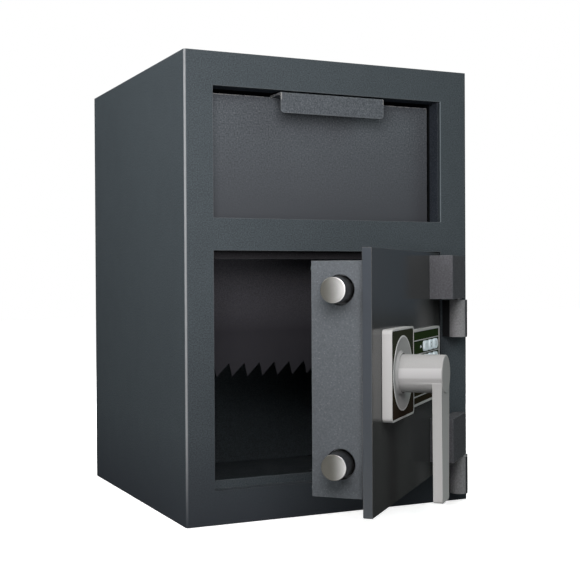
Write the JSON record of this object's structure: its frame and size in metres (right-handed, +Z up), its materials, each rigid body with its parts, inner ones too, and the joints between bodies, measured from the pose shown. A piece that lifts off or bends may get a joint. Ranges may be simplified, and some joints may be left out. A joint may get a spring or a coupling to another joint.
{
  "type": "drop safe",
  "caption": "Front-loading drop safe: tilting deposit hopper with a pull lip above a hinged, bolted door with lever and keypad.",
  "frame": {"origin": "centre of the cabinet underside", "axes": "+Z up, -Y out of the front where the hopper and door are, +X to the right seen from the front"},
  "size_m": [0.3556, 0.5681, 0.508],
  "materials": {
    "body_paint": "fine textured slate grey enamel",
    "door_paint": "dark satin enamel",
    "hammer_paint": "grey hammer finish enamel",
    "inner_paint": "matte grey primer",
    "bright_steel": "satin turned steel",
    "zinc_steel": "zinc plated",
    "satin_casting": "satin die casting",
    "bezel_plastic": "satin grey",
    "dark_face": "dark membrane face",
    "key_plastic": "pale cool white",
    "led_plastic": "clear white lens",
    "lock_casting": "die cast zinc"
  },
  "bodies": {
    "cabinet": {"body_wrap": "body_paint", "top_plate": "body_paint", "bottom_plate": "body_paint", "back_plate": "body_paint", "door_stop_top": "body_paint", "door_stop_bottom": "body_paint", "bolt_jamb": "body_paint", "chute_baffle": "inner_paint", "hopper_guard_left": "body_paint", "hopper_guard_right": "body_paint", "hopper_hood": "body_paint", "hopper_pivot_rod": "zinc_steel", "hopper_pivot_clip": "zinc_steel", "hinge_foot_upper": "hammer_paint", "hinge_foot_lower": "hammer_paint", "hinge_pin_upper": "bright_steel", "hinge_pin_lower": "bright_steel"},
    "hopper": {"hopper_panel": "hammer_paint", "bucket_cheek_left": "hammer_paint", "bucket_cheek_right": "hammer_paint", "bucket_back": "hammer_paint", "pull_handle": "hammer_paint"},
    "door": {"door_plate": "door_paint", "hinge_block_upper": "hammer_paint", "hinge_block_lower": "hammer_paint", "bolt_box": "hammer_paint", "bolt_box_cover": "hammer_paint", "cover_screw_1": "zinc_steel", "cover_screw_2": "zinc_steel", "cover_screw_3": "zinc_steel", "cover_screw_4": "zinc_steel", "bolt_guide_upper": "zinc_steel", "bolt_guide_lower": "zinc_steel", "escutcheon": "bezel_plastic", "escutcheon_inlay": "dark_face", "handle_rose": "satin_casting", "keypad_panel": "dark_face", "keypad_frame": "bezel_plastic", "keypad_led": "led_plastic", "lock_case": "lock_casting"},
    "handle": {"handle_lever": "satin_casting", "handle_spindle": "zinc_steel", "bolt_cam": "zinc_steel", "spindle_clip": "zinc_steel"},
    "bolts": {"bolt_carriage": "zinc_steel", "bolt_upper": "bright_steel", "bolt_lower": "bright_steel"},
    "latch": {"lock_latch": "bright_steel"},
    "button_1": {"key_1": "key_plastic"},
    "button_2": {"key_2": "key_plastic"},
    "button_3": {"key_3": "key_plastic"},
    "button_4": {"key_4": "key_plastic"},
    "button_5": {"key_5": "key_plastic"},
    "button_6": {"key_6": "key_plastic"},
    "button_7": {"key_7": "key_plastic"},
    "button_8": {"key_8": "key_plastic"},
    "button_9": {"key_9": "key_plastic"},
    "button_star": {"key_star": "key_plastic"},
    "button_0": {"key_0": "key_plastic"},
    "button_hash": {"key_hash": "key_plastic"}
  },
  "joints": [
    {"name": "door_hinge", "type": "hinge", "parent": "cabinet", "child": "door", "pos_m": [0.1532, -0.1973, 0.166], "axis": [0, 0, 1], "range_deg": [-44.4, 65]},
    {"name": "hopper_tilt", "type": "hinge", "parent": "cabinet", "child": "hopper", "pos_m": [0, -0.1398, 0.322], "axis": [1, 0, 0], "range_deg": [0, 45]},
    {"name": "handle_turn", "type": "hinge", "parent": "door", "child": "handle", "pos_m": [-0.01741, -0.33708, 0.1706], "axis": [-0.6997, 0.7145, 0], "range_deg": [0, 90]},
    {"name": "bolt_throw", "type": "slide", "parent": "door", "child": "bolts", "axis": [0.7145, 0.6997, 0], "range_m": [0, 0.0201]},
    {"name": "latch_slide", "type": "slide", "parent": "door", "child": "latch", "axis": [0, 0, -1], "range_m": [-0.008, 0]},
    {"name": "press_1", "type": "slide", "parent": "door", "child": "button_1", "axis": [-0.6997, 0.7145, 0], "range_m": [0, 0.0015], "stiffness_N_per_m": 300, "springref_m": -0.0008},
    {"name": "press_2", "type": "slide", "parent": "door", "child": "button_2", "axis": [-0.6997, 0.7145, 0], "range_m": [0, 0.0015], "stiffness_N_per_m": 300, "springref_m": -0.0008},
    {"name": "press_3", "type": "slide", "parent": "door", "child": "button_3", "axis": [-0.6997, 0.7145, 0], "range_m": [0, 0.0015], "stiffness_N_per_m": 300, "springref_m": -0.0008},
    {"name": "press_4", "type": "slide", "parent": "door", "child": "button_4", "axis": [-0.6997, 0.7145, 0], "range_m": [0, 0.0015], "stiffness_N_per_m": 300, "springref_m": -0.0008},
    {"name": "press_5", "type": "slide", "parent": "door", "child": "button_5", "axis": [-0.6997, 0.7145, 0], "range_m": [0, 0.0015], "stiffness_N_per_m": 300, "springref_m": -0.0008},
    {"name": "press_6", "type": "slide", "parent": "door", "child": "button_6", "axis": [-0.6997, 0.7145, 0], "range_m": [0, 0.0015], "stiffness_N_per_m": 300, "springref_m": -0.0008},
    {"name": "press_7", "type": "slide", "parent": "door", "child": "button_7", "axis": [-0.6997, 0.7145, 0], "range_m": [0, 0.0015], "stiffness_N_per_m": 300, "springref_m": -0.0008},
    {"name": "press_8", "type": "slide", "parent": "door", "child": "button_8", "axis": [-0.6997, 0.7145, 0], "range_m": [0, 0.0015], "stiffness_N_per_m": 300, "springref_m": -0.0008},
    {"name": "press_9", "type": "slide", "parent": "door", "child": "button_9", "axis": [-0.6997, 0.7145, 0], "range_m": [0, 0.0015], "stiffness_N_per_m": 300, "springref_m": -0.0008},
    {"name": "press_star", "type": "slide", "parent": "door", "child": "button_star", "axis": [-0.6997, 0.7145, 0], "range_m": [0, 0.0015], "stiffness_N_per_m": 300, "springref_m": -0.0008},
    {"name": "press_0", "type": "slide", "parent": "door", "child": "button_0", "axis": [-0.6997, 0.7145, 0], "range_m": [0, 0.0015], "stiffness_N_per_m": 300, "springref_m": -0.0008},
    {"name": "press_hash", "type": "slide", "parent": "door", "child": "button_hash", "axis": [-0.6997, 0.7145, 0], "range_m": [0, 0.0015], "stiffness_N_per_m": 300, "springref_m": -0.0008}
  ],
  "couplings": [
    {"joint": "bolt_throw", "follows": "handle_turn", "m_per_rad": 0.012732}
  ]
}
